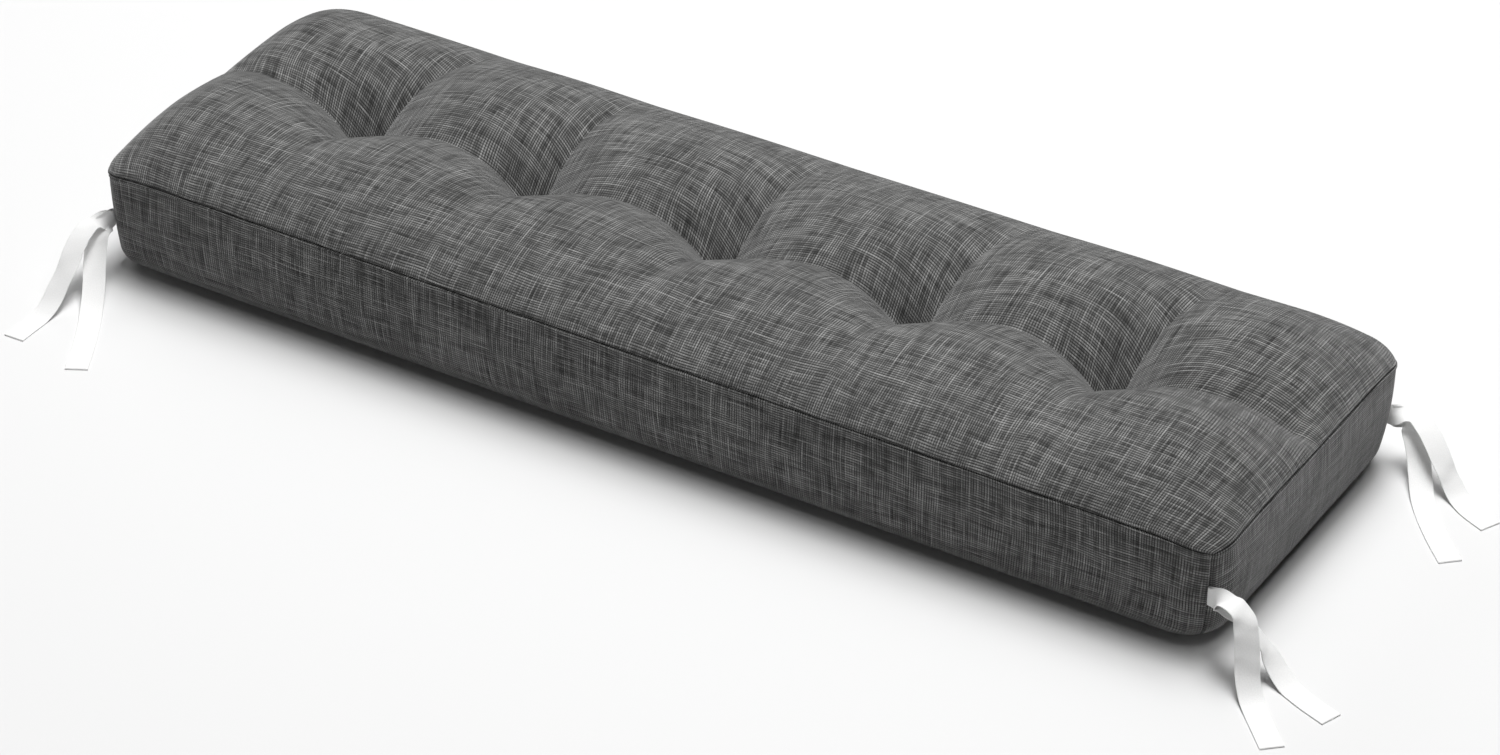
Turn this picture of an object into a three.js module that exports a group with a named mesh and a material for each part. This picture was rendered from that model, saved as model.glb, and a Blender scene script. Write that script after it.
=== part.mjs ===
// Tufted bench cushion with four sewn-in tape ties, lying on its plain underside.
// Millimetres, +Z up. The origin is the middle of the underside, +X runs along the
// length and -Y points to the front.

import * as THREE from 'three';

// ---- cushion: driving dimensions --------------------------------------------------

const LENGTH = 1200;          // end seam to end seam
const WIDTH = 378;            // front seam to back seam
const SEAM_HEIGHT = 112;      // from the underside up to the top seam
const CORNER_RADIUS = { left: 24, right: 36 };  // of the outline, seen from above
const CORNER_DROOP = { left: 4, right: 7 };  // the top seam sags this much at each corner
const DROOP_REACH = 70;       // and is level again this far from the corner

const HALF_LENGTH = LENGTH / 2;
const HALF_WIDTH = WIDTH / 2;

// One row of five tufts on the long centre line makes six bays.
const TUFT_X = [-423, -224, -13, 196, 399];
const BACK_LEAN = [65, 29, 40, 49, 43];     // the valley behind a tuft drifts this far to +X
const BAY_LOFT = [-0.8, -0.3, -1.8, -3.2, 0, -0.1];  // hand filling: extra loft of each bay

// The filled top panel: how it climbs from its seam and what the tufting pulls in.
const CROWN_HEIGHT = 48.5;    // full loft above the seam, where nothing pulls it down
const END_REACH = { left: 65, right: 103 };  // it is at full loft this far from an end seam
const SIDE_REACH = 114;       // and this far from a front or back seam
const END_FULLNESS = { left: 0.55, right: 0.66 };  // below 1 the panel leaves its seam steeply
const SIDE_FULLNESS = 0.76;

const CROSS_VALLEY = 31;      // depth of the valleys that run front to back through a tuft
const LONG_VALLEY = 25.7;     // depth of the valley along the row of tufts
const TUFT_PIT = 32;          // the stitch pulls this much deeper than both valleys
const PIT_SPREAD = 41;
const PIT_POWER = 1.5;
const BAY_REACH = 108;        // widest half bay a cross valley still shapes
const ROW_REACH = 0.464;      // half width of the long valley, as a share of HALF_WIDTH
const CROSS_FULLNESS = 0.60;
const LONG_FULLNESS = 0.69;
const CREASE_AT_TUFT = 2;     // rounding of the valley floors, tight at the tufts
const CREASE_AT_SEAM = 47;
const CREASE_POWER = 2.8;
const CREASE_MID_BAY = 4;
const CROSS_FADE = { least: 0.075, power: 0.79 };
const LONG_FADE = { left: { least: 0.04, reach: 246 }, right: { least: 0.38, reach: 86 }, power: 0.33 };
const LONG_CLOSE = { reach: 25, power: 0.6 };   // the long valley closes up at an end seam

// The side band: it leans in toward the underside and rolls under.
const BAND_TAPER = 10;        // the band leans in toward the underside
const LEFT_TAPER = 1;         // less at the left end
const ROLL_HEIGHT = 24;
const ROLL_DEPTH = 18;
const LEFT_ROLL = 12;
const BAND_PUFF = 3;          // the filling rounds the band out between the corners
const PUFF_FADE = 70;
const SEAM_TUCK = 2.2;        // the seam lies this far inside the fold next to it
const CORNER_TUCK = 2.4;      // the same at the upright corner seams

// Rows of the band below the seam, as shares of SEAM_HEIGHT.
const BAND_LEVELS = [0.955, 0.84, 0.66, 0.48, 0.32, 0.2, 0.11, 0.045, 0];

const CELLS_PER_BAY = 14;
const CELLS_PER_SIDE = 12;    // from the long centre line out to a seam
const STATION_EASE = 1.6;     // gathers the grid lines at valleys and seams

// ---- ties: driving dimensions ------------------------------------------------------

const TAPE_WIDTH = 22;
const TAPE_THICKNESS = 1.2;
const TAPE_FLOOR_GAP = 0.3;
const FOLD_RADIUS = 1.4;      // middle of the tape round the fold that is sewn in
const ROOT_GAP = 1.3;         // between the fold and the cushion's corner seam
const LEAD = 4;               // the tape leaves the seam straight
const TWIST_END = 24;         // and turns from upright to flat on the way to here
const TAIL_STEPS = 24;
const FOLD_STEPS = 5;
const TAPE_STRIPS = 2;        // faces across the tape

// Each tie is one tape folded in half. Its corner is at signs sx, sy, its middle leaves the
// seam at a height, with a heading in degrees from +X toward +Y. upperSide is +1 where the
// upper tail starts on the left of that heading. The rows give the middle of each tail,
// x and y from the corner of the outline, z above the surface.
const TIES = {
  tie_front_right: {
    sx: 1, sy: -1, height: 61, heading: 0, upperSide: -1,
    upper: [
      { x: 17, y: 0, z: 70 },
      { x: 28, y: -3, z: 63 },
      { x: 34, y: -8, z: 51 },
      { x: 39, y: -14, z: 33 },
      { x: 44, y: -21, z: 16 },
      { x: 54, y: -32, z: 4 },
      { x: 70, y: -49, z: 0 },
      { x: 96, y: -77, z: 0 },
    ],
    lower: [
      { x: 17, y: 2, z: 60 },
      { x: 28, y: 7, z: 50 },
      { x: 37, y: 11, z: 37 },
      { x: 46, y: 13, z: 23 },
      { x: 58, y: 10, z: 10 },
      { x: 74, y: 3, z: 1.5 },
      { x: 94, y: -6, z: 0 },
      { x: 121, y: -16, z: 0 },
    ],
  },
  tie_back_right: {
    sx: 1, sy: 1, height: 47, heading: -25, upperSide: -1,
    upper: [
      { x: 16, y: -10, z: 50 },
      { x: 31, y: -17, z: 45 },
      { x: 44, y: -25, z: 36 },
      { x: 56, y: -32, z: 24 },
      { x: 66, y: -36, z: 12 },
      { x: 78, y: -43, z: 3 },
      { x: 94, y: -54, z: 0 },
      { x: 119, y: -66, z: 0 },
    ],
    lower: [
      { x: 11, y: -11, z: 42 },
      { x: 19, y: -17, z: 33 },
      { x: 28, y: -26, z: 22 },
      { x: 38, y: -41, z: 11 },
      { x: 49, y: -59, z: 3 },
      { x: 63, y: -79, z: 0 },
      { x: 85, y: -106, z: 0 },
      { x: 111, y: -134, z: 0 },
    ],
  },
  tie_front_left: {
    sx: -1, sy: -1, height: 57, heading: -95, upperSide: 1,
    upper: [
      { x: -1, y: -16, z: 59 },
      { x: -2, y: -30, z: 54 },
      { x: -1, y: -44, z: 45 },
      { x: 1, y: -58, z: 33 },
      { x: 1, y: -73, z: 20 },
      { x: 2, y: -89, z: 8 },
      { x: 2, y: -108, z: 1 },
      { x: 3, y: -145, z: 0 },
    ],
    lower: [
      { x: 7, y: -16, z: 50 },
      { x: 10, y: -25, z: 40 },
      { x: 16, y: -36, z: 28 },
      { x: 25, y: -50, z: 15 },
      { x: 36, y: -68, z: 5 },
      { x: 50, y: -90, z: 0 },
      { x: 67, y: -118, z: 0 },
      { x: 88, y: -156, z: 0 },
    ],
  },
};

// ---- materials ---------------------------------------------------------------------

const fabric = new THREE.MeshStandardMaterial({ color: 0x4c4c4b, roughness: 0.92, metalness: 0 });
const tape = new THREE.MeshStandardMaterial({ color: 0xefefed, roughness: 0.85, metalness: 0 });

// ---- shape functions of the cushion --------------------------------------------------

const clamp01 = (t) => Math.min(1, Math.max(0, t));

// From 0 at a seam or crease to 1 at full loft. fullness below 1 makes the start steeper.
function swell(share, fullness) {
  return (1 - (1 - clamp01(share)) ** 2) ** fullness;
}

// Distance from a crease line whose floor is rounded to a radius.
const rounded = (distance, radius) => Math.hypot(distance, radius) - radius;

// The ends and the valleys between the bays, at a distance y from the long centre line.
function bayEdges(y) {
  const valleys = TUFT_X.map((x, k) => x + BACK_LEAN[k] * clamp01(y / HALF_WIDTH));
  return [-HALF_LENGTH, ...valleys, HALF_LENGTH];
}

// The bay that (x, y) lies in, half its length and the distance to the nearest valley.
function bayAt(x, y) {
  const edges = bayEdges(y);
  const bay = edges.findIndex((edge, i) => i > 0 && x <= edge + 1e-9) - 1;
  const half = Math.min((edges[bay + 1] - edges[bay]) / 2, BAY_REACH);
  const toValley = Math.min(...edges.slice(1, -1).map((edge) => Math.abs(x - edge)));
  return { bay, half, toValley };
}

// Height of the top seam, which sags a little at the corners.
function seamHeight(x, y) {
  const alongX = clamp01(1 - (HALF_LENGTH - Math.abs(x)) / DROOP_REACH);
  const alongY = clamp01(1 - (HALF_WIDTH - Math.abs(y)) / DROOP_REACH);
  const droop = x < 0 ? CORNER_DROOP.left : CORNER_DROOP.right;
  return SEAM_HEIGHT - droop * alongX * alongX * alongY * alongY;
}

// Loft of the top panel above the seam, for x and y before the corners are rounded.
function loft(x, y) {
  const fromEnd = HALF_LENGTH - Math.abs(x);
  const fromSide = HALF_WIDTH - Math.abs(y);
  const end = x < 0 ? 'left' : 'right';
  const endSwell = swell(fromEnd / END_REACH[end], END_FULLNESS[end]);
  const sideSwell = swell(fromSide / SIDE_REACH, SIDE_FULLNESS);
  const across = Math.abs(y) / HALF_WIDTH;
  const { bay, half, toValley } = bayAt(x, y);

  const crossCrease = CREASE_AT_TUFT + CREASE_AT_SEAM * across ** CREASE_POWER;
  const crossFade = CROSS_FADE.least + (1 - CROSS_FADE.least) * clamp01(1 - across ** CROSS_FADE.power);
  const mound = swell(rounded(toValley, crossCrease) / half, CROSS_FULLNESS);

  const longCrease = CREASE_AT_TUFT + CREASE_MID_BAY * clamp01(toValley / half);
  const { least, reach } = LONG_FADE[end];
  const longFade = (least + (1 - least) * clamp01(fromEnd / reach) ** LONG_FADE.power)
    * clamp01(fromEnd / LONG_CLOSE.reach) ** LONG_CLOSE.power;
  const longShare = 1 - swell(rounded(y, longCrease) / (HALF_WIDTH * ROW_REACH), LONG_FULLNESS);

  const pit = Math.exp(-((Math.hypot(toValley, y, 4) / PIT_SPREAD) ** PIT_POWER));
  return (CROWN_HEIGHT + BAY_LOFT[bay] * mound) * endSwell * sideSwell
    - CROSS_VALLEY * (1 - mound) * crossFade * sideSwell
    - LONG_VALLEY * longShare * longFade
    - TUFT_PIT * pit;
}

// A point of a rectangle of half sides a, b moved so that the corners are arcs.
function roundCorner(x, y, a, b) {
  const r = x < 0 ? CORNER_RADIUS.left : CORNER_RADIUS.right;
  const overX = (Math.abs(x) - (a - r)) / r;
  const overY = (Math.abs(y) - (b - r)) / r;
  if (overX <= 0 || overY <= 0) return [x, y];
  const px = overX * Math.sqrt(1 - (overY * overY) / 2);
  const py = overY * Math.sqrt(1 - (overX * overX) / 2);
  return [Math.sign(x) * (a - r + px * r), Math.sign(y) * (b - r + py * r)];
}

// How far inside the seam's outline the band lies at a share of the seam height.
function bandInset(level, taper, roll) {
  const z = level * SEAM_HEIGHT;
  const drop = clamp01((ROLL_HEIGHT - z) / ROLL_HEIGHT);
  return taper * (1 - level) ** 2 + roll * (1 - Math.sqrt(1 - drop * drop));
}

// Point of the outline at (x, y) of the seam's rectangle, moved to a level of the band.
function bandPoint(x, y, level, tuck) {
  const fromCorner = Math.min(
    1,
    Math.hypot(HALF_LENGTH - Math.abs(x), HALF_WIDTH - Math.abs(y)) / PUFF_FADE,
  );
  const puff = BAND_PUFF * Math.sin(Math.PI * level) * fromCorner * fromCorner * (3 - 2 * fromCorner);
  const sideInset = bandInset(level, BAND_TAPER, ROLL_DEPTH);
  const endInset = x < 0 ? bandInset(level, LEFT_TAPER, LEFT_ROLL) : sideInset;
  const a = HALF_LENGTH - endInset - tuck + puff;
  const b = HALF_WIDTH - sideInset - tuck + puff;
  const [px, py] = roundCorner((x * a) / HALF_LENGTH, (y * b) / HALF_WIDTH, a, b);
  const isCorner = Math.abs(x) === HALF_LENGTH && Math.abs(y) === HALF_WIDTH;
  const pull = isCorner ? CORNER_TUCK / Math.SQRT2 : 0;
  return new THREE.Vector3(
    px - Math.sign(x) * pull,
    py - Math.sign(y) * pull,
    level * seamHeight(x, y),
  );
}

// ---- cushion mesh --------------------------------------------------------------------

// Grid stations from edge to edge, gathered toward the edges.
function stations(edges, cells) {
  const all = [edges[0]];
  for (let span = 1; span < edges.length; span += 1) {
    for (let i = 1; i <= cells; i += 1) {
      const t = (2 * i) / cells - 1;
      const share = (1 + Math.sign(t) * (1 - (1 - Math.abs(t)) ** STATION_EASE)) / 2;
      all.push(edges[span - 1] * (1 - share) + edges[span] * share);
    }
  }
  return all;
}

function cushionGeometry() {
  const ys = stations([-HALF_WIDTH, 0, HALF_WIDTH], CELLS_PER_SIDE);
  const xRows = ys.map((y) => stations(bayEdges(y), CELLS_PER_BAY));
  const xs = xRows[0];
  const nx = xs.length - 1;
  const ny = ys.length - 1;
  const vertices = [];
  const triangles = [];
  const add = (v) => vertices.push(v) - 1;
  const quad = (a, b, c, d) => triangles.push([a, b, c], [a, c, d]);

  // Outline stations, once round: front, right end, back, left end.
  const outline = [
    ...xs.slice(1).map((_, i) => [i, 0]),
    ...ys.slice(1).map((_, j) => [nx, j]),
    ...xs.slice(1).map((_, i) => [nx - i, ny]),
    ...ys.slice(1).map((_, j) => [0, ny - j]),
  ];

  // Top panel: a grid whose rim is the seam.
  const top = xs.map((_, i) => ys.map((y, j) => {
    const x = xRows[j][i];
    if (i === 0 || i === nx || j === 0 || j === ny) return add(bandPoint(x, y, 1, SEAM_TUCK));
    const [px, py] = roundCorner(x, y, HALF_LENGTH, HALF_WIDTH);
    return add(new THREE.Vector3(px, py, seamHeight(x, y) + loft(x, y)));
  }));
  for (let i = 0; i < nx; i += 1) {
    for (let j = 0; j < ny; j += 1) {
      quad(top[i][j], top[i + 1][j], top[i + 1][j + 1], top[i][j + 1]);
    }
  }

  // Side band: rings of the outline from the seam down to the underside.
  let upper = outline.map(([i, j]) => top[i][j]);
  for (const level of BAND_LEVELS) {
    const lower = outline.map(([i, j]) => add(bandPoint(xRows[j][i], ys[j], level, 0)));
    lower.forEach((_, k) => {
      const next = (k + 1) % lower.length;
      quad(upper[k], lower[k], lower[next], upper[next]);
    });
    upper = lower;
  }

  // Underside: one flat panel.
  const rim = upper.map((k) => new THREE.Vector2(vertices[k].x, vertices[k].y));
  for (const [a, b, c] of THREE.ShapeUtils.triangulateShape(rim, [])) {
    triangles.push([upper[a], upper[c], upper[b]]);
  }

  const geometry = new THREE.BufferGeometry();
  const position = vertices.flatMap((v) => v.toArray());
  geometry.setAttribute('position', new THREE.Float32BufferAttribute(position, 3));
  geometry.setIndex(triangles.flat());
  geometry.computeVertexNormals();
  return geometry;
}

// ---- ties ------------------------------------------------------------------------------

const UP = new THREE.Vector3(0, 0, 1);
const leftOf = (direction) => new THREE.Vector3(-direction.y, direction.x, 0).normalize();

// Stations along one tail, from the fold outwards: middle of the tape and its width direction.
function tailStations(rows, corner, start, heading, turn) {
  const rest = TAPE_FLOOR_GAP + TAPE_THICKNESS / 2;
  const points = [
    start,
    start.clone().addScaledVector(heading, LEAD),
    ...rows.map((row) => new THREE.Vector3(corner.x + row.x, corner.y + row.y, Math.max(row.z, rest))),
  ];
  const curve = new THREE.CatmullRomCurve3(points, false, 'centripetal');
  const length = curve.getLength();
  return Array.from({ length: TAIL_STEPS + 1 }, (_, i) => {
    const u = i / TAIL_STEPS;
    const middle = curve.getPointAt(u);
    middle.z = Math.max(middle.z, rest);
    const flat = THREE.MathUtils.smoothstep(u * length, 0, TWIST_END) * (Math.PI / 2);
    const across = leftOf(curve.getTangentAt(u)).multiplyScalar(turn);
    const width = UP.clone().multiplyScalar(Math.cos(flat)).addScaledVector(across, Math.sin(flat));
    return { middle, width };
  });
}

// One tape: upper tail from its tip to the seam, the fold, then the lower tail to its tip.
function tieStations(tie) {
  const angle = THREE.MathUtils.degToRad(tie.heading);
  const heading = new THREE.Vector3(Math.cos(angle), Math.sin(angle), 0);
  const aside = leftOf(heading).multiplyScalar(tie.upperSide);
  const corner = new THREE.Vector3(tie.sx * HALF_LENGTH, tie.sy * HALF_WIDTH, 0);

  // The fold stands clear of the corner seam at the tape's upper edge, where the band is fullest.
  const seam = bandPoint(corner.x, corner.y, (tie.height + TAPE_WIDTH / 2) / SEAM_HEIGHT, 0);
  const outward = new THREE.Vector3(tie.sx, tie.sy, 0).normalize();
  const centre = seam.clone().setZ(tie.height)
    .addScaledVector(outward, ROOT_GAP + TAPE_THICKNESS / 2 + FOLD_RADIUS);

  const upperStart = centre.clone().addScaledVector(aside, FOLD_RADIUS);
  const lowerStart = centre.clone().addScaledVector(aside, -FOLD_RADIUS);
  const upper = tailStations(tie.upper, corner, upperStart, heading, -tie.upperSide);
  const lower = tailStations(tie.lower, corner, lowerStart, heading, -tie.upperSide);
  const fold = Array.from({ length: FOLD_STEPS }, (_, i) => {
    const turn = (Math.PI * (i + 1)) / (FOLD_STEPS + 1);
    const middle = centre.clone()
      .addScaledVector(aside, FOLD_RADIUS * Math.cos(turn))
      .addScaledVector(heading, -FOLD_RADIUS * Math.sin(turn));
    return { middle, width: UP.clone() };
  });
  return [...upper.reverse(), ...fold, ...lower];
}

// A flat tape of even thickness along its stations, closed at both tips. Each station has one
// row of points on each face, and both faces are split along the same diagonals.
function tapeGeometry(line) {
  const position = [];
  line.forEach(({ middle, width }, i) => {
    const before = line[Math.max(i - 1, 0)].middle;
    const after = line[Math.min(i + 1, line.length - 1)].middle;
    const along = after.clone().sub(before).normalize();
    const across = width.clone().addScaledVector(along, -width.dot(along)).normalize();
    const face = across.clone().cross(along);
    for (const side of [1, -1]) {
      for (let k = 0; k <= TAPE_STRIPS; k += 1) {
        const point = middle.clone()
          .addScaledVector(across, (k / TAPE_STRIPS - 0.5) * TAPE_WIDTH)
          .addScaledVector(face, (side * TAPE_THICKNESS) / 2);
        position.push(...point.toArray());
      }
    }
  });

  const row = TAPE_STRIPS + 1;
  const at = (i, side, k) => (2 * i + side) * row + k;
  const index = [];
  const quad = (a, b, c, d) => index.push(a, b, c, a, c, d);
  for (let i = 0; i + 1 < line.length; i += 1) {
    for (let k = 0; k < TAPE_STRIPS; k += 1) {
      quad(at(i, 0, k), at(i, 0, k + 1), at(i + 1, 0, k + 1), at(i + 1, 0, k));
      quad(at(i + 1, 1, k + 1), at(i, 1, k + 1), at(i, 1, k), at(i + 1, 1, k));
    }
    quad(at(i, 0, 0), at(i + 1, 0, 0), at(i + 1, 1, 0), at(i, 1, 0));
    quad(at(i, 1, TAPE_STRIPS), at(i + 1, 1, TAPE_STRIPS), at(i + 1, 0, TAPE_STRIPS), at(i, 0, TAPE_STRIPS));
  }
  const last = line.length - 1;
  for (let k = 0; k < TAPE_STRIPS; k += 1) {
    quad(at(0, 0, k), at(0, 1, k), at(0, 1, k + 1), at(0, 0, k + 1));
    quad(at(last, 0, k + 1), at(last, 1, k + 1), at(last, 1, k), at(last, 0, k));
  }
  const geometry = new THREE.BufferGeometry();
  geometry.setAttribute('position', new THREE.Float32BufferAttribute(position, 3));
  geometry.setIndex(index);
  geometry.computeVertexNormals();
  return geometry;
}

// The same tie seen in a mirror that stands along the length of the cushion.
function mirroredFrontToBack(tie) {
  const mirrorRows = (rows) => rows.map((row) => ({ ...row, y: -row.y }));
  return {
    ...tie,
    sy: -tie.sy,
    heading: -tie.heading,
    upperSide: -tie.upperSide,
    upper: mirrorRows(tie.upper),
    lower: mirrorRows(tie.lower),
  };
}

// ---- assembly ----------------------------------------------------------------------------

const group = new THREE.Group();

const cushion = new THREE.Mesh(cushionGeometry(), fabric);
cushion.name = 'cushion';
group.add(cushion);

const ties = { ...TIES, tie_back_left: mirroredFrontToBack(TIES.tie_front_left) };
for (const [name, tie] of Object.entries(ties)) {
  const mesh = new THREE.Mesh(tapeGeometry(tieStations(tie)), tape);
  mesh.name = name;
  group.add(mesh);
}

export default group;
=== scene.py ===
"""Tufted bench cushion with four folded tape ties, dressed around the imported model.

Shapes are worked out in millimetres, +Z up, as in the part's source, and turned into metres
when a mesh is made. The cushion lies on its plain underside at z = 0.
"""

import math

import bpy
import numpy as np
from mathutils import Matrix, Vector


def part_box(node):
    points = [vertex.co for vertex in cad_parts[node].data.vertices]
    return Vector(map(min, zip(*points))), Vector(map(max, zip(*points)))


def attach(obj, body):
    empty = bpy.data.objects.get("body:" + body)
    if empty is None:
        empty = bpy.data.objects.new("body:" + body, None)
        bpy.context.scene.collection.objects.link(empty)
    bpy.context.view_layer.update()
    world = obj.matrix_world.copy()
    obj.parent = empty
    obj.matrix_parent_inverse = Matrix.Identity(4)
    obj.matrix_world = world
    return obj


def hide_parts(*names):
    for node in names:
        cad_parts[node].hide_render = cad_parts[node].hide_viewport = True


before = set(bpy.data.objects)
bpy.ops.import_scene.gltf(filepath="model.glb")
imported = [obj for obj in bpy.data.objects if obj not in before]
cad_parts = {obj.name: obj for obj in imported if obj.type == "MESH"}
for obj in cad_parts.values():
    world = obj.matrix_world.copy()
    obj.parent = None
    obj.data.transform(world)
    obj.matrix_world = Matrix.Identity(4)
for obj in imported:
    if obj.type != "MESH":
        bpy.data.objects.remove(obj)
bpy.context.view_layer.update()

MM = 0.001

# ---- cushion: driving dimensions, in millimetres --------------------------------------------

BULGE = 1.5                     # the band stands this far proud of the top seam
HALF_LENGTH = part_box("cushion")[1].x / MM - BULGE
HALF_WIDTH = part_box("cushion")[1].y / MM - BULGE
SEAM_HEIGHT = 112               # from the underside up to the top seam
CORNER_RADIUS = {"left": 24, "right": 36}   # of the outline, seen from above
CORNER_DROOP = {"left": 4, "right": 7}      # the top seam sags this much at each corner
DROOP_REACH = 70

TUFT_X = np.array([-423, -224, -13, 196, 399])
# The valley behind a tuft drifts this far to +X on its way to the back seam.
BACK_LEAN = np.array([65, 29, 40, 49, 43])
# Extra loft in the middle of each bay, from the left end to the right.
BAY_LOFT = np.array([-0.8, -0.3, -1.8, -3.2, 0, -0.1])
ON_EDGE = 1e-9                  # a point this close to a valley belongs to the bay on its left

CROWN_HEIGHT = 48.5             # full loft above the seam, where nothing pulls it down
END_REACH = {"left": 65, "right": 103}      # the loft is full this far from a seam
SIDE_REACH = 114
END_FULLNESS = {"left": 0.55, "right": 0.66}
SIDE_FULLNESS = 0.76
CROSS_VALLEY = 31               # valleys that run front to back through a tuft
LONG_VALLEY = 25.7              # the valley along the row of tufts
TUFT_PIT = 32                   # the stitch pulls this much deeper than both valleys
PIT_SPREAD = 41
PIT_POWER = 1.5
PIT_FLOOR = 4                   # radius of the rounded bottom of a pit
BAY_REACH = 108                 # a bay rises from its valley over no more than this
ROW_REACH = 0.464               # half width of the long valley, as a share of HALF_WIDTH
CROSS_FULLNESS = 0.60
LONG_FULLNESS = 0.69
CREASE_AT_TUFT = 2              # radius of a valley's floor, at a tuft and at the long seams
CREASE_AT_SEAM = 47
CREASE_POWER = 2.8
CREASE_MID_BAY = 4              # the long valley's floor is this much rounder between tufts
CROSS_FADE_LEAST = 0.075        # share of a valley's depth that is left at the seam
CROSS_FADE_POWER = 0.79
LONG_FADE_LEAST = {"left": 0.04, "right": 0.38}
LONG_FADE_REACH = {"left": 246, "right": 86}
LONG_FADE_POWER = 0.33
LONG_CLOSE_REACH = 25           # the long valley closes up at an end seam
LONG_CLOSE_POWER = 0.6

BAND_TAPER = 10                 # the band leans in toward the underside
LEFT_TAPER = 1                  # the left end less than the rest
ROLL_HEIGHT = 24                # the band rolls under below this height
ROLL_DEPTH = 18
LEFT_ROLL = 12
BAND_PUFF = 3                   # it puffs out between the corners
PUFF_FADE = 70

SEAM_TUCK = 2.4                 # the top seam lies this far inside the folds next to it
SHOULDER = 1.2                  # height over which the band comes out of the seam
LIP = 0.8                       # the fold below the seam stands this far proud
LIP_DROP = 2.0                  # and this far down
CORNER_TUCK = 2.4               # depth of the upright corner seams
CORNER_SPREAD = 1.3

# ---- mesh density and thread coordinates ----------------------------------------------------

CELLS_PER_BAY = 64
CELLS_PER_SIDE = 56             # from the long centre line out to a seam
CELLS_UP_BAND = 28
STATION_EASE = 1.6              # gathers the top's grid lines at valleys and seams
BAND_EASE = 2.0                 # and the band's at its upper and lower edge
# Thread coordinates of one cut piece start this far from those of the next.
BAND_CLOTH_U = 1900
BAND_CLOTH_V = 700
BOTTOM_CLOTH = 5000


# ---- shape functions of the cushion ---------------------------------------------------------

def swell(share, fullness):
    """From 0 at a seam or crease to 1 at full loft. fullness below 1 makes the start steeper."""
    return (1 - (1 - np.clip(share, 0, 1)) ** 2) ** fullness


def smoothstep(t):
    """Smooth rise from 0 at t = 0 to 1 at t = 1."""
    t = np.clip(t, 0, 1)
    return t * t * (3 - 2 * t)


def rounded(distance, radius):
    """Distance from a crease line whose floor is rounded to a radius."""
    return np.hypot(distance, radius) - radius


def bay_edges(y):
    """The ends and the valleys between the bays, along a last axis, at each y."""
    y = np.asarray(y, float)[..., None]
    valleys = TUFT_X + BACK_LEAN * np.clip(y / HALF_WIDTH, 0, 1)
    ends = np.full_like(y, HALF_LENGTH)
    return np.concatenate([-ends, valleys, ends], axis=-1)


def bay_at(x, y):
    """Distance to the nearest valley, half of the bay that x lies in, and the bay's number."""
    edges = bay_edges(y)
    bay = np.clip(np.sum(edges < x[..., None] - ON_EDGE, axis=-1) - 1, 0, len(TUFT_X))
    start = np.take_along_axis(edges, bay[..., None], -1)[..., 0]
    stop = np.take_along_axis(edges, bay[..., None] + 1, -1)[..., 0]
    to_valley = np.min(np.abs(x[..., None] - edges[..., 1:-1]), axis=-1)
    return to_valley, np.minimum((stop - start) / 2, BAY_REACH), bay


def by_end(x, sizes):
    """The size for the left or the right half of the cushion."""
    return np.where(x < 0, sizes["left"], sizes["right"])


def seam_height(x, y):
    """Height of the top seam: it sags toward the corners."""
    along_x = np.clip(1 - (HALF_LENGTH - np.abs(x)) / DROOP_REACH, 0, 1)
    along_y = np.clip(1 - (HALF_WIDTH - np.abs(y)) / DROOP_REACH, 0, 1)
    return SEAM_HEIGHT - by_end(x, CORNER_DROOP) * along_x ** 2 * along_y ** 2


def loft(x, y):
    """Height of the top panel above the seam."""
    from_end = HALF_LENGTH - np.abs(x)
    from_side = HALF_WIDTH - np.abs(y)
    end_swell = swell(from_end / by_end(x, END_REACH), by_end(x, END_FULLNESS))
    side_swell = swell(from_side / SIDE_REACH, SIDE_FULLNESS)
    across = np.abs(y) / HALF_WIDTH
    to_valley, half, bay = bay_at(x, y)

    cross_crease = CREASE_AT_TUFT + CREASE_AT_SEAM * across ** CREASE_POWER
    cross_left = np.clip(1 - across ** CROSS_FADE_POWER, 0, 1)
    cross_fade = CROSS_FADE_LEAST + (1 - CROSS_FADE_LEAST) * cross_left
    mound = swell(rounded(to_valley, cross_crease) / half, CROSS_FULLNESS)

    long_crease = CREASE_AT_TUFT + CREASE_MID_BAY * np.clip(to_valley / half, 0, 1)
    least = by_end(x, LONG_FADE_LEAST)
    long_fade = np.clip(from_end / by_end(x, LONG_FADE_REACH), 0, 1) ** LONG_FADE_POWER
    long_close = np.clip(from_end / LONG_CLOSE_REACH, 0, 1) ** LONG_CLOSE_POWER
    long_fade = (least + (1 - least) * long_fade) * long_close
    long_share = 1 - swell(rounded(y, long_crease) / (HALF_WIDTH * ROW_REACH), LONG_FULLNESS)

    to_stitch = np.sqrt(to_valley ** 2 + y ** 2 + PIT_FLOOR ** 2)
    pit = np.exp(-((to_stitch / PIT_SPREAD) ** PIT_POWER))
    return (
        (CROWN_HEIGHT + BAY_LOFT[bay] * mound) * end_swell * side_swell
        - CROSS_VALLEY * (1 - mound) * cross_fade * side_swell
        - LONG_VALLEY * long_share * long_fade
        - TUFT_PIT * pit
    )


def round_corner(x, y, a, b):
    """Points of a rectangle of half sides a, b moved so that its corners are arcs."""
    radius = by_end(x, CORNER_RADIUS)
    over_x = np.clip((np.abs(x) - (a - radius)) / radius, 0, None)
    over_y = np.clip((np.abs(y) - (b - radius)) / radius, 0, None)
    in_corner = (over_x > 0) & (over_y > 0)
    px = np.sign(x) * (a - radius + over_x * np.sqrt(1 - over_y ** 2 / 2) * radius)
    py = np.sign(y) * (b - radius + over_y * np.sqrt(1 - over_x ** 2 / 2) * radius)
    return np.where(in_corner, px, x), np.where(in_corner, py, y)


def band_inset(level, taper, roll):
    """How far inside the seam's outline the band lies, at a share of the seam height."""
    drop = np.clip((ROLL_HEIGHT - level * SEAM_HEIGHT) / ROLL_HEIGHT, 0, 1)
    return taper * (1 - level) ** 2 + roll * (1 - np.sqrt(1 - drop ** 2))


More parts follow.
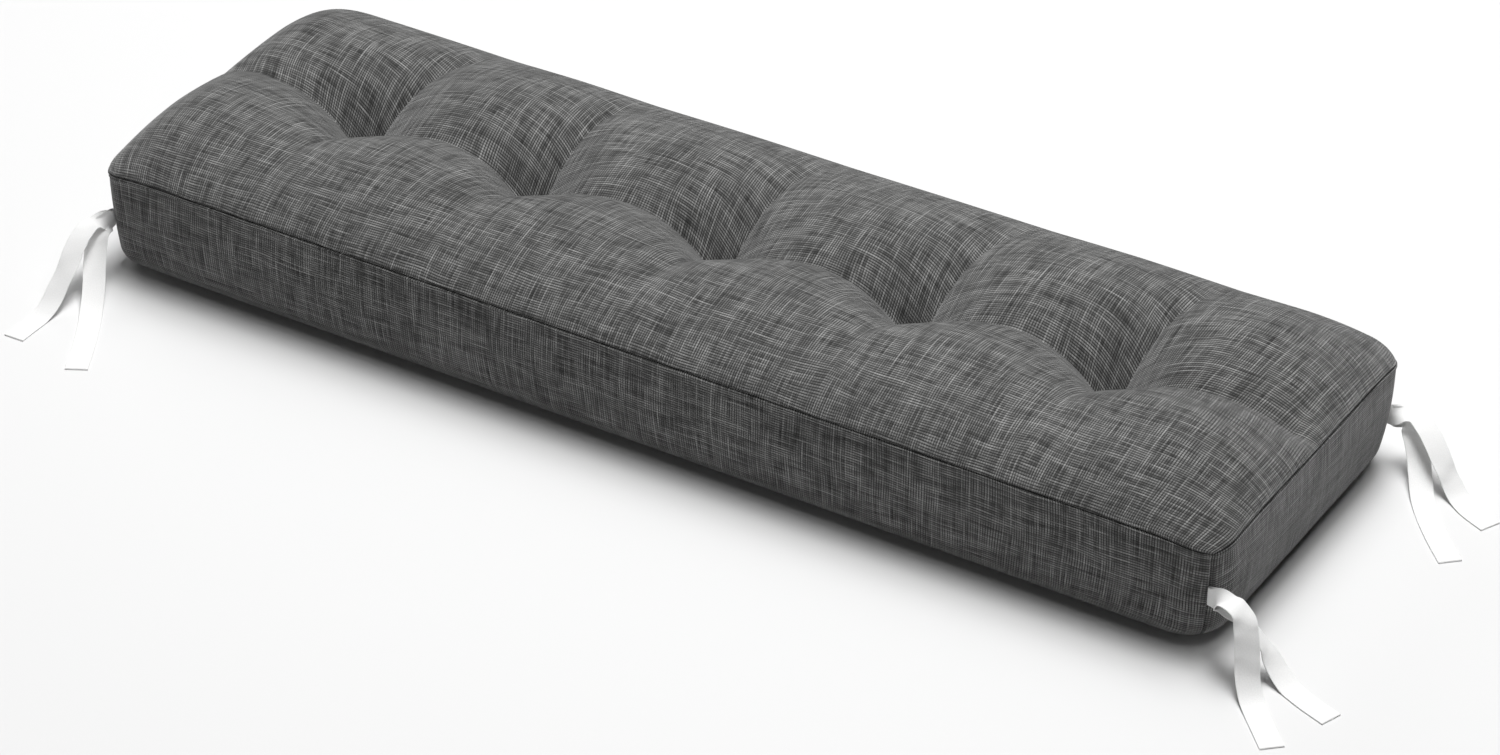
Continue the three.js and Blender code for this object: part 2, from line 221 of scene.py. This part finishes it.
def band_point(x, y, level):
    """The outline at (x, y) of the seam's rectangle, moved to a level of the band."""
    to_corner = np.hypot(HALF_LENGTH - np.abs(x), HALF_WIDTH - np.abs(y))
    below_seam = (1 - level) * SEAM_HEIGHT
    puff = BAND_PUFF * np.sin(np.pi * level) * smoothstep(to_corner / PUFF_FADE)
    lip = LIP * np.exp(-((below_seam / LIP_DROP - 1) ** 2))
    tuck = SEAM_TUCK * np.clip(1 - below_seam / SHOULDER, 0, 1) ** 2
    side_inset = band_inset(level, BAND_TAPER, ROLL_DEPTH)
    end_inset = np.where(x < 0, band_inset(level, LEFT_TAPER, LEFT_ROLL), side_inset)
    a = HALF_LENGTH - end_inset - tuck + puff + lip
    b = HALF_WIDTH - side_inset - tuck + puff + lip
    px, py = round_corner(x * a / HALF_LENGTH, y * b / HALF_WIDTH, a, b)
    pull = CORNER_TUCK / math.sqrt(2) * np.exp(-((to_corner / CORNER_SPREAD) ** 2))
    z = level * seam_height(x, y)
    return np.stack([px - np.sign(x) * pull, py - np.sign(y) * pull, z], axis=-1)


# ---- cushion mesh ---------------------------------------------------------------------------

def stations(start, stop, cells, ease):
    """Grid stations between two edges, gathered toward both of them."""
    t = np.linspace(-1, 1, cells + 1)
    eased = np.sign(t) * (1 - (1 - np.abs(t)) ** ease)
    return (start + stop) / 2 + (stop - start) / 2 * eased


def chained(edges, cells, ease):
    """Stations over several spans. edges may have more axes, the last one is chained."""
    share = stations(0, 1, cells, ease)
    spans = edges[..., :-1, None] * (1 - share) + edges[..., 1:, None] * share
    inner = spans[..., 1:].reshape(*edges.shape[:-1], -1)
    return np.concatenate([edges[..., :1], inner], axis=-1)


def running_length(points, axis):
    """Length along a grid of points, from its first row or column."""
    steps = np.linalg.norm(np.diff(points, axis=axis), axis=-1)
    total = np.cumsum(steps, axis=axis)
    return np.insert(total, 0, 0, axis=axis)


def evened(length, cells, drift=0):
    """Running length down the first axis, stretched so that each span has its mean length.

    drift moves the cuts between the spans, one row for each cut.
    """
    cuts = length[::cells]
    even = np.mean(cuts - drift, axis=1)[:, None] + drift
    out = np.empty_like(length)
    for k in range(len(cuts) - 1):
        share = (length[k * cells:(k + 1) * cells + 1] - cuts[k]) / (cuts[k + 1] - cuts[k])
        out[k * cells:(k + 1) * cells + 1] = even[k] + share * (even[k + 1] - even[k])
    return out


class QuadMesh:
    """Vertices in millimetres and faces that carry a cloth coordinate on each corner."""

    def __init__(self):
        self.points = []
        self.faces = []
        self.cloth = []
        self.count = 0

    def add_points(self, points):
        """Adds a block of points and returns their numbers in the same arrangement."""
        flat = points.reshape(-1, 3)
        numbers = self.count + np.arange(len(flat)).reshape(points.shape[:-1])
        self.points.append(flat)
        self.count += len(flat)
        return numbers

    def add_grid(self, numbers, cloth):
        """Faces between neighbours of a grid of vertex numbers, with cloth of the same shape."""
        corners = [(slice(None, -1), slice(None, -1)), (slice(1, None), slice(None, -1)),
                   (slice(1, None), slice(1, None)), (slice(None, -1), slice(1, None))]
        self.faces.extend(np.stack([numbers[c] for c in corners], axis=-1).reshape(-1, 4).tolist())
        self.cloth.append(np.stack([cloth[c] for c in corners], axis=-2).reshape(-1, 2))

    def add_face(self, numbers, cloth):
        """One face with many corners."""
        self.faces.append(list(numbers))
        self.cloth.append(cloth)

    def make(self, name, material):
        """Puts the mesh into the scene, in metres, and returns its object."""
        mesh = bpy.data.meshes.new(name)
        mesh.from_pydata(np.concatenate(self.points) * MM, [], self.faces)
        layer = mesh.uv_layers.new(name="cloth")
        layer.uv.foreach_set("vector", (np.concatenate(self.cloth) * MM).ravel())
        mesh.materials.append(material)
        mesh.shade_smooth()
        mesh.validate()
        piece = bpy.data.objects.new(name, mesh)
        bpy.context.scene.collection.objects.link(piece)
        return piece


def top_points(x, y):
    """The top panel, with its rim laid on the upper edge of the band."""
    px, py = round_corner(x, y, HALF_LENGTH, HALF_WIDTH)
    points = np.stack([px, py, seam_height(x, y) + loft(x, y)], axis=-1)
    rim = np.ones(x.shape, bool)
    rim[1:-1, 1:-1] = False
    points[rim] = band_point(x, y, 1.0)[rim]
    return points


def outline_numbers(nx, ny):
    """Grid numbers once round the rim: front, right end, back, left end."""
    front = [(i, 0) for i in range(nx)]
    right = [(nx, j) for j in range(ny)]
    back = [(nx - i, ny) for i in range(nx)]
    left = [(0, ny - j) for j in range(ny)]
    return np.array(front + right + back + left + [(0, 0)])


def cushion_mesh(material):
    """The whole case as one closed mesh: top panel, four side bands and bottom panel."""
    ys = chained(np.array([-HALF_WIDTH, 0, HALF_WIDTH]), CELLS_PER_SIDE, STATION_EASE)
    x = chained(bay_edges(ys), CELLS_PER_BAY, STATION_EASE).T
    y = np.broadcast_to(ys, x.shape)
    nx, ny = x.shape[0] - 1, x.shape[1] - 1
    mesh = QuadMesh()

    top = top_points(x, y)
    top_numbers = mesh.add_points(top)
    mesh.add_grid(top_numbers, top_cloth(top, ys))

    ring = outline_numbers(nx, ny)
    levels = stations(1, 0, CELLS_UP_BAND, BAND_EASE)
    at_rim = ring[:-1, 0], ring[:-1, 1]
    rows = np.stack([band_point(x[at_rim], y[at_rim], level) for level in levels[1:]], axis=1)
    row_numbers = mesh.add_points(rows)
    rim = top_numbers[at_rim]
    band_numbers = np.concatenate([rim[:, None], row_numbers], axis=1)
    band_numbers = np.concatenate([band_numbers, band_numbers[:1]], axis=0)
    points = np.concatenate(mesh.points)
    sides = np.cumsum([0, nx, ny, nx, ny])
    for side, (first, last) in enumerate(zip(sides[:-1], sides[1:])):
        numbers = band_numbers[first:last + 1]
        mesh.add_grid(numbers[:, ::-1], band_cloth(points[numbers], side)[:, ::-1])

    bottom = band_numbers[-2::-1, -1]
    mesh.add_face(bottom, points[bottom][:, :2] + BOTTOM_CLOTH)
    return mesh.make("cushion_case", material)


def top_cloth(points, ys):
    """Thread coordinates of the top panel: it is stretched evenly within each bay."""
    drift = (bay_edges(ys) - bay_edges(0.0)).T
    u = evened(running_length(points, 0), CELLS_PER_BAY, drift)
    v = evened(running_length(points, 1).T, CELLS_PER_SIDE).T
    return np.stack([u, v], axis=-1)


def band_cloth(points, side):
    """Thread coordinates of one side band, apart from those of the other pieces."""
    middle = running_length(points[:, CELLS_UP_BAND // 2], 0)
    u = np.repeat(middle[:, None], points.shape[1], axis=1) + BAND_CLOTH_U * (side + 1)
    v = -running_length(points, 1) - BAND_CLOTH_V * (side + 1)
    return np.stack([u, v], axis=-1)


# ---- ties -----------------------------------------------------------------------------------

TAPE_WIDTH = 22
TAPE_THICKNESS = 1.2
TAPE_FLOOR_GAP = 0.3
FOLD_RADIUS = 1.4
ROOT_GAP = 1.3                  # clear space between the fold and the corner seam
LEAD = 4                        # a tail leaves the seam straight for this far
TWIST_END = 24                  # and has turned from upright to flat by here
ROOT_PINCH = 0.2                # the seam draws the folded tape in by this share
PINCH_REACH = 14

LINE_STEPS = 40                 # between two of the rows below
TAIL_STEPS = 110
FOLD_STEPS = 9

# The same rows as the part's source: middle of each tail, from the corner of the outline.
# height is that of the middle of the fold, heading the way it points, in degrees from +X.
TIES = {
    "tie_front_right": {
        "corner": (1, -1), "height": 61, "heading": 0, "upper_side": -1,
        "upper": [(17, 0, 70), (28, -3, 63), (34, -8, 51), (39, -14, 33),
                  (44, -21, 16), (54, -32, 4), (70, -49, 0), (96, -77, 0)],
        "lower": [(17, 2, 60), (28, 7, 50), (37, 11, 37), (46, 13, 23),
                  (58, 10, 10), (74, 3, 1.5), (94, -6, 0), (121, -16, 0)],
    },
    "tie_back_right": {
        "corner": (1, 1), "height": 47, "heading": -25, "upper_side": -1,
        "upper": [(16, -10, 50), (31, -17, 45), (44, -25, 36), (56, -32, 24),
                  (66, -36, 12), (78, -43, 3), (94, -54, 0), (119, -66, 0)],
        "lower": [(11, -11, 42), (19, -17, 33), (28, -26, 22), (38, -41, 11),
                  (49, -59, 3), (63, -79, 0), (85, -106, 0), (111, -134, 0)],
    },
    "tie_front_left": {
        "corner": (-1, -1), "height": 57, "heading": -95, "upper_side": 1,
        "upper": [(-1, -16, 59), (-2, -30, 54), (-1, -44, 45), (1, -58, 33),
                  (1, -73, 20), (2, -89, 8), (2, -108, 1), (3, -145, 0)],
        "lower": [(7, -16, 50), (10, -25, 40), (16, -36, 28), (25, -50, 15),
                  (36, -68, 5), (50, -90, 0), (67, -118, 0), (88, -156, 0)],
    },
}


def mirrored_front_to_back(tie):
    """The same tie seen in a mirror that stands along the length of the cushion."""
    x_side, y_side = tie["corner"]
    return {
        "corner": (x_side, -y_side),
        "height": tie["height"],
        "heading": -tie["heading"],
        "upper_side": -tie["upper_side"],
        "upper": [(x, -y, z) for x, y, z in tie["upper"]],
        "lower": [(x, -y, z) for x, y, z in tie["lower"]],
    }


TIES["tie_back_left"] = mirrored_front_to_back(TIES["tie_front_left"])


def unit(v):
    return v / np.linalg.norm(v, axis=-1, keepdims=True)


def left_of(heading):
    """Level unit vectors at a right angle to a heading, on its left."""
    return unit(np.stack([-heading[..., 1], heading[..., 0], 0 * heading[..., 0]], axis=-1))


def centripetal(points):
    """A dense centripetal Catmull-Rom line through the points."""
    first = 2 * points[0] - points[1]
    last = 2 * points[-1] - points[-2]
    p = np.vstack([first, points, last])
    line = []
    for a, b, c, d in zip(p[:-3], p[1:-2], p[2:-1], p[3:]):
        t0 = 0.0
        t1 = t0 + math.sqrt(np.linalg.norm(b - a))
        t2 = t1 + math.sqrt(np.linalg.norm(c - b))
        t3 = t2 + math.sqrt(np.linalg.norm(d - c))
        t = np.linspace(t1, t2, LINE_STEPS, endpoint=False)[:, None]
        ab = a + (b - a) * (t - t0) / (t1 - t0)
        bc = b + (c - b) * (t - t1) / (t2 - t1)
        cd = c + (d - c) * (t - t2) / (t3 - t2)
        abc = ab + (bc - ab) * (t - t0) / (t2 - t0)
        bcd = bc + (cd - bc) * (t - t1) / (t3 - t1)
        line.append(abc + (bcd - abc) * (t - t1) / (t2 - t1))
    return np.vstack([*line, points[-1]])


def spaced(line, steps):
    """Evenly spaced points on a dense line, and its whole length."""
    run = np.concatenate([[0], np.cumsum(np.linalg.norm(np.diff(line, axis=0), axis=1))])
    at = np.linspace(0, run[-1], steps + 1)
    return np.stack([np.interp(at, run, line[:, k]) for k in range(3)], axis=-1), run[-1]


def tail_stations(rows, corner, start, heading, turn):
    """Stations along one tail from the fold outwards: middle of the tape, width direction."""
    rest = TAPE_FLOOR_GAP + TAPE_THICKNESS / 2
    placed = np.array(rows, float) + corner
    placed[:, 2] = np.maximum(placed[:, 2], rest)
    line = centripetal(np.vstack([start, start + heading * LEAD, placed]))
    middle, length = spaced(line, TAIL_STEPS)
    middle[:, 2] = np.maximum(middle[:, 2], rest)
    flat = smoothstep(np.linspace(0, length, TAIL_STEPS + 1) / TWIST_END)[:, None] * math.pi / 2
    across = left_of(unit(np.gradient(middle, axis=0))) * turn
    return middle, np.array([0, 0, 1.0]) * np.cos(flat) + across * np.sin(flat)


def tie_stations(tie):
    """One tape: upper tail from its tip to the seam, the fold, then the lower tail to its tip."""
    angle = math.radians(tie["heading"])
    heading = np.array([math.cos(angle), math.sin(angle), 0])
    aside = left_of(heading) * tie["upper_side"]
    signs = np.array([*tie["corner"], 0.0])
    corner = signs * [HALF_LENGTH, HALF_WIDTH, 0]
    level = (tie["height"] + TAPE_WIDTH / 2) / SEAM_HEIGHT
    seam = band_point(corner[0], corner[1], level)
    seam[2] = tie["height"]
    centre = seam + unit(signs) * (ROOT_GAP + TAPE_THICKNESS / 2 + FOLD_RADIUS)

    turn = -tie["upper_side"]
    upper = tail_stations(tie["upper"], corner, centre + aside * FOLD_RADIUS, heading, turn)
    lower = tail_stations(tie["lower"], corner, centre - aside * FOLD_RADIUS, heading, turn)
    bend = (np.pi * np.arange(1, FOLD_STEPS + 1) / (FOLD_STEPS + 1))[:, None]
    fold = centre + aside * FOLD_RADIUS * np.cos(bend) - heading * FOLD_RADIUS * np.sin(bend)
    upright = np.tile([0, 0, 1.0], (FOLD_STEPS, 1))
    middle = np.vstack([upper[0][::-1], fold, lower[0]])
    width = np.vstack([upper[1][::-1], upright, lower[1]])
    return middle, width


# Round the edge of the tape: share of the half width and of the half thickness.
TAPE_SECTION = [
    (1.0, 0.0), (0.985, 0.7), (0.93, 0.95), (0.86, 0.8), (0.6, 0.9), (0.3, 0.97),
]


def tape_ring():
    """The tape's section as a closed ring of (across, through) shares."""
    quarter = np.array(TAPE_SECTION)
    upper = np.vstack([quarter, [[0, 1.0]], quarter[::-1] * [-1, 1]])
    lower = upper[::-1][1:-1] * [1, -1]
    return np.vstack([upper, lower])


def tie_mesh(name, tie, material):
    """One tape as a closed mesh, and its whole length."""
    middle, width = tie_stations(tie)
    along = unit(np.gradient(middle, axis=0))
    across = unit(width - along * np.sum(width * along, axis=1, keepdims=True))
    face = np.cross(across, along)
    ring = tape_ring()
    run = running_length(middle, 0)
    middle_of_fold = TAIL_STEPS + 1 + FOLD_STEPS // 2
    from_fold = run - run[middle_of_fold]
    pinch = 1 - ROOT_PINCH * np.exp(-((from_fold / PINCH_REACH) ** 2))
    drawn_in = across * pinch[:, None]
    rings = (
        middle[:, None]
        + drawn_in[:, None] * ring[None, :, :1] * TAPE_WIDTH / 2
        + face[:, None] * ring[None, :, 1:] * TAPE_THICKNESS / 2
    )
    mesh = QuadMesh()
    numbers = mesh.add_points(rings)
    closed = np.concatenate([numbers, numbers[:, :1]], axis=1)
    shares = np.concatenate([ring[:, 0], ring[:1, 0]]) * TAPE_WIDTH / 2
    cloth = np.stack(np.meshgrid(run, shares, indexing="ij"), axis=-1)
    mesh.add_grid(closed, cloth)
    for at, tip in ((run[0], numbers[0]), (run[-1], numbers[-1][::-1])):
        mesh.add_face(tip, np.stack([np.full(len(ring), at), ring[:, 0]], axis=-1))
    return mesh.make(name, material), run[-1]


# ---- materials ------------------------------------------------------------------------------

class Shader:
    """One material and short calls that add nodes to it."""

    def __init__(self, name):
        self.material = bpy.data.materials.new(name)
        self.material.use_nodes = True
        self.nodes = self.material.node_tree.nodes
        self.links = self.material.node_tree.links
        self.surface = self.nodes["Principled BSDF"]

    def feed(self, socket, value):
        if isinstance(value, bpy.types.NodeSocket):
            self.links.new(value, socket)
        else:
            socket.default_value = value

    def math(self, operation, *values):
        node = self.nodes.new("ShaderNodeMath")
        node.operation = operation
        for socket, value in zip(node.inputs, values):
            self.feed(socket, value)
        return node.outputs[0]

    def times(self, first, second):
        return self.math("MULTIPLY", first, second)

    def plus(self, first, second):
        return self.math("ADD", first, second)

    def cloth(self):
        """The two cloth coordinates, in metres."""
        node = self.nodes.new("ShaderNodeUVMap")
        node.uv_map = "cloth"
        split = self.nodes.new("ShaderNodeSeparateXYZ")
        self.links.new(node.outputs["UV"], split.inputs[0])
        return split.outputs[0], split.outputs[1]

    def noise(self, x, y, detail=0.0, offset=0.0):
        """Noise from 0 to 1 over two coordinates that are already scaled."""
        place = self.nodes.new("ShaderNodeCombineXYZ")
        self.feed(place.inputs[0], x)
        self.feed(place.inputs[1], y)
        place.inputs[2].default_value = offset
        node = self.nodes.new("ShaderNodeTexNoise")
        node.inputs["Scale"].default_value = 1.0
        node.inputs["Detail"].default_value = detail
        self.links.new(place.outputs[0], node.inputs["Vector"])
        return node.outputs["Fac"]

    def ramp(self, value, low, high):
        """Smooth rise from 0 at low to 1 at high."""
        node = self.nodes.new("ShaderNodeMapRange")
        node.interpolation_type = "SMOOTHSTEP"
        self.feed(node.inputs["Value"], value)
        node.inputs["From Min"].default_value = low
        node.inputs["From Max"].default_value = high
        return node.outputs["Result"]

    def blend(self, share, first, second):
        """Mixes two numbers."""
        node = self.nodes.new("ShaderNodeMix")
        node.data_type = "FLOAT"
        self.feed(node.inputs["Factor"], share)
        self.feed(node.inputs["A"], first)
        self.feed(node.inputs["B"], second)
        return node.outputs["Result"]

    def tint(self, share, dark, light):
        """Mixes two colours by a number."""
        node = self.nodes.new("ShaderNodeMix")
        node.data_type = "RGBA"
        self.feed(node.inputs["Factor"], share)
        node.inputs["A"].default_value = (*dark, 1)
        node.inputs["B"].default_value = (*light, 1)
        return node.outputs["Result"]

    def bump(self, height, distance, strength):
        """Relief of the surface, at its full height in metres and a share of it."""
        node = self.nodes.new("ShaderNodeBump")
        node.inputs["Strength"].default_value = strength
        node.inputs["Distance"].default_value = distance
        self.links.new(height, node.inputs["Height"])
        self.links.new(node.outputs[0], self.surface.inputs["Normal"])

    def finish(self, colour, roughness, specular, sheen=0.0, sheen_roughness=0.5):
        """Sets the colour and the plain values of the surface. Returns the material."""
        inputs = self.surface.inputs
        self.feed(inputs["Base Color"], colour)
        inputs["Roughness"].default_value = roughness
        inputs["Specular IOR Level"].default_value = specular
        inputs["Sheen Weight"].default_value = sheen
        inputs["Sheen Roughness"].default_value = sheen_roughness
        return self.material


THREAD = 0.0025                 # thread pitch of the cover cloth, in metres
SLUB_LENGTH = 0.040
WAVER = 1.6                     # threads waver this far, in pitches
WAVER_ACROSS = 30               # changes of the waver in a metre
WAVER_ALONG = 18
THREAD_SPREAD = 7.31            # steps through the noise, so that each thread is its own
TONE_PACE = 0.8                 # changes of a thread's tone in the length of a slub
TONE_RANGE = (0.52, 1.5)        # of the two tones added up, from the darkest to the lightest
SLUB_RANGE = (0.59, 0.74)       # noise at the edge and in the middle of a slub
SLUB_LIGHT = 0.30
SLUB_POWER = 2.5                # above 1: a slub is narrower than its thread
PROFILE_RANGE = (0.1, 1.0)      # height of a thread at the edge of a gap and on top: the painted shade is full at the first and gone at the second
OPEN_GAP = 0.0                  # brightness left in the open gaps between threads: painted shade
CLOSED_GAP = 0.6                # and where the threads of the other set lie over them: lighter painted shade
LEAD_SCALE = 40                 # patches in a metre in which one set lies over the other
LEAD_RANGE = (0.42, 0.58)
FABRIC_DARK = (0.021, 0.021, 0.0205)
FABRIC_LIGHT = (0.325, 0.325, 0.32)
FABRIC_RELIEF = 0.0005          # in metres
FABRIC_BUMP = 0.6
# Places in the noise. Those of the tone and the slubs are added to that of the warp or weft.
WARP_SEED = 0.0
WEFT_SEED = 31.0
TONE_SEED = 3
SLUB_SEED = 9
LEAD_SEED = 57.0


def thread_set(shader, across, along, seed):
    """Threads that lie side by side in 'across' and run in 'along': tone, slubs and profile."""
    waver = shader.noise(
        shader.times(across, WAVER_ACROSS), shader.times(along, WAVER_ALONG), offset=seed
    )
    count = shader.math("DIVIDE", across, THREAD)
    count = shader.plus(count, shader.times(waver, WAVER))
    profile = shader.math("ABSOLUTE", shader.math("SINE", shader.times(count, math.pi)))
    spread = shader.times(shader.math("FLOOR", count), THREAD_SPREAD)
    run = shader.math("DIVIDE", along, SLUB_LENGTH)
    pace = shader.times(run, TONE_PACE)
    tone = shader.noise(spread, pace, detail=2.0, offset=seed + TONE_SEED)
    slub = shader.ramp(shader.noise(spread, run, offset=seed + SLUB_SEED), *SLUB_RANGE)
    crest = shader.math("POWER", profile, SLUB_POWER)
    light = shader.times(shader.times(slub, crest), SLUB_LIGHT)
    return tone, light, profile


def fabric_material():
    """Dark grey linen-look plain weave with lighter slubs both ways."""
    shader = Shader("grey linen weave")
    u, v = shader.cloth()
    warp_tone, warp_light, warp_profile = thread_set(shader, u, v, WARP_SEED)
    weft_tone, weft_light, weft_profile = thread_set(shader, v, u, WEFT_SEED)
    lead = shader.noise(
        shader.times(u, LEAD_SCALE), shader.times(v, LEAD_SCALE), detail=1.0, offset=LEAD_SEED
    )
    lead = shader.ramp(lead, *LEAD_RANGE)
    warp_floor = shader.blend(lead, OPEN_GAP, CLOSED_GAP)
    weft_floor = shader.blend(lead, CLOSED_GAP, OPEN_GAP)
    # Painted shade: the colour darkens toward each thread's edges and most in the open gaps
    # between threads. The tone and the slubs are the yarn's own colour.
    weave_shade = shader.times(
        shader.blend(shader.ramp(warp_profile, *PROFILE_RANGE), warp_floor, 1.0),
        shader.blend(shader.ramp(weft_profile, *PROFILE_RANGE), weft_floor, 1.0),
    )
    tone = shader.ramp(shader.plus(warp_tone, weft_tone), *TONE_RANGE)
    slubs = shader.math("MAXIMUM", warp_light, weft_light)
    share = shader.plus(shader.times(tone, weave_shade), slubs)
    shader.bump(shader.plus(warp_profile, weft_profile), FABRIC_RELIEF, FABRIC_BUMP)
    return shader.finish(
        shader.tint(share, FABRIC_DARK, FABRIC_LIGHT),
        roughness=0.9, specular=0.2, sheen=0.45, sheen_roughness=0.4,
    )


RIB = 0.0011                    # pitch of the tape's slanting ribs, in metres
RIB_SHARE = 0.5                 # of the ribs in the tape's relief, next to its mottle
MOTTLE_ALONG = 700              # specks in a metre
MOTTLE_ACROSS = 900
MOTTLE_SHADE_RANGE = (-0.2, 1.3)      # relief at the darkest and at the lightest colour: painted shade in the low parts
TAPE_DARK = (0.78, 0.78, 0.775)
TAPE_LIGHT = (0.87, 0.87, 0.865)
TAPE_RELIEF = 0.00015           # in metres
TAPE_BUMP = 0.4

FLOOR_COLOUR = (0.72, 0.72, 0.72, 1)


def tape_material():
    """White cotton twill tape: fine slanting ribs and a mottle of small specks."""
    shader = Shader("white twill tape")
    u, v = shader.cloth()
    slant = shader.math("DIVIDE", shader.plus(u, v), RIB)
    rib = shader.math("SINE", shader.times(slant, 2 * math.pi))
    mottle = shader.noise(shader.times(u, MOTTLE_ALONG), shader.times(v, MOTTLE_ACROSS))
    height = shader.plus(shader.times(rib, RIB_SHARE), mottle)
    shader.bump(height, TAPE_RELIEF, TAPE_BUMP)
    # The colour follows the relief: painted shade in the grooves between the ribs and in the low
    # specks, painted light on the rib tops. The mottle is also the tape's own uneven tone.
    colour = shader.tint(shader.ramp(height, *MOTTLE_SHADE_RANGE), TAPE_DARK, TAPE_LIGHT)
    return shader.finish(colour, roughness=0.85, specular=0.25, sheen=0.1)


def floor_material():
    return Shader("pale floor").finish(FLOOR_COLOUR, roughness=1.0, specular=0.0)


# ---- camera, floor and light ----------------------------------------------------------------

CAMERA_AZIMUTH = 31.96          # degrees from the front toward the right end
CAMERA_ELEVATION = 33.5
CAMERA_DISTANCE = 4.212         # distances and places in metres
CAMERA_TARGET = Vector((0.031, -0.021, 0))
CAMERA_LENS = 108               # lens and sensor in millimetres
SENSOR_WIDTH = 36

FLOOR_SIZE = 30
WORLD_LIGHT = 0.01
LIGHT_DISTANCE = 6.0
LIGHTS = [
    # name, azimuth and elevation in degrees, diameter in metres, power in watts
    ("overhead", 150, 85, 1.7, 128),
    ("wide overhead", 115, 80, 4.2, 192),
    ("behind", 190, 72, 3.0, 156),
    ("low behind", 200, 58, 3.0, 38),
    ("low left", 240, 25, 3.0, 60),
    ("low front", 0, 20, 3.0, 19),
]


def direction(azimuth, elevation):
    """Unit vector toward azimuth from the front and elevation above the floor, in degrees."""
    a, e = math.radians(azimuth), math.radians(elevation)
    return Vector((math.sin(a) * math.cos(e), -math.cos(a) * math.cos(e), math.sin(e)))


def aimed(name, data, target, toward, distance):
    """Adds an object that stands at a distance from a target and looks at it."""
    thing = bpy.data.objects.new(name, data)
    bpy.context.scene.collection.objects.link(thing)
    thing.location = target + toward * distance
    thing.rotation_euler = (-toward).to_track_quat("-Z", "Y").to_euler()
    return thing


def add_camera():
    data = bpy.data.cameras.new("camera")
    data.lens = CAMERA_LENS
    data.sensor_width = SENSOR_WIDTH
    toward = direction(CAMERA_AZIMUTH, CAMERA_ELEVATION)
    camera = aimed("camera", data, CAMERA_TARGET, toward, CAMERA_DISTANCE)
    bpy.context.scene.camera = camera


def add_floor():
    bpy.ops.mesh.primitive_plane_add(size=FLOOR_SIZE, location=(0, 0, 0))
    floor = bpy.context.object
    floor.name = "floor"
    floor.data.materials.append(floor_material())


def add_light(name, azimuth, elevation, diameter, power):
    data = bpy.data.lights.new(name, "AREA")
    data.shape = "DISK"
    data.size = diameter
    data.energy = power
    aimed(name, data, Vector((0, 0, 0)), direction(azimuth, elevation), LIGHT_DISTANCE)


def add_studio():
    world = bpy.data.worlds.new("studio")
    world.use_nodes = True
    background = world.node_tree.nodes["Background"]
    background.inputs["Color"].default_value = (1, 1, 1, 1)
    background.inputs["Strength"].default_value = WORLD_LIGHT
    bpy.context.scene.world = world
    bpy.context.scene.view_settings.view_transform = "Standard"
    for light in LIGHTS:
        add_light(*light)


# ---- the whole scene ------------------------------------------------------------------------

add_camera()
add_floor()
add_studio()

fabric = fabric_material()
tape = tape_material()

cushion = cushion_mesh(fabric)
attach(cushion, "root")
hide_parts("cushion")

for node, tie in TIES.items():
    piece, length = tie_mesh(node + "_tape", tie, tape)
    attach(piece, "root")
    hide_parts(node)
